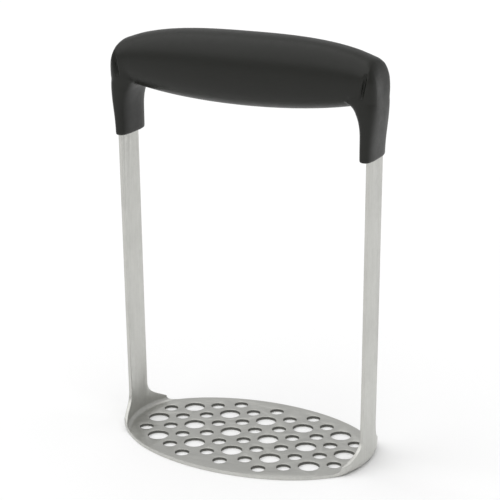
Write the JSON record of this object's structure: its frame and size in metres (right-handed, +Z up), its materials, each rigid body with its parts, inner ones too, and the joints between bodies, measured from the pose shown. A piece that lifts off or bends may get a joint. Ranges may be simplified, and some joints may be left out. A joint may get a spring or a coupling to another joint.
{
  "type": "hand masher",
  "caption": "Hand masher: a perforated oval steel plate whose turned-up ends rise as two flat straps into a cushioned cross handle.",
  "frame": {"origin": "under the middle of the mashing plate, on its flat underside", "axes": "+Z up from the plate to the handle, X along the handle and the long axis of the plate, Y across"},
  "size_m": [0.1206, 0.0734, 0.1789],
  "materials": {
    "steel_sheet": "satin stainless sheet",
    "rigid_core": "plain moulded",
    "soft_grip": "matte, slightly satin on the ridges"
  },
  "bodies": {
    "root": {"mashing_frame": "steel_sheet", "handle_core": "rigid_core", "soft_grip": "soft_grip"}
  },
  "joints": []
}
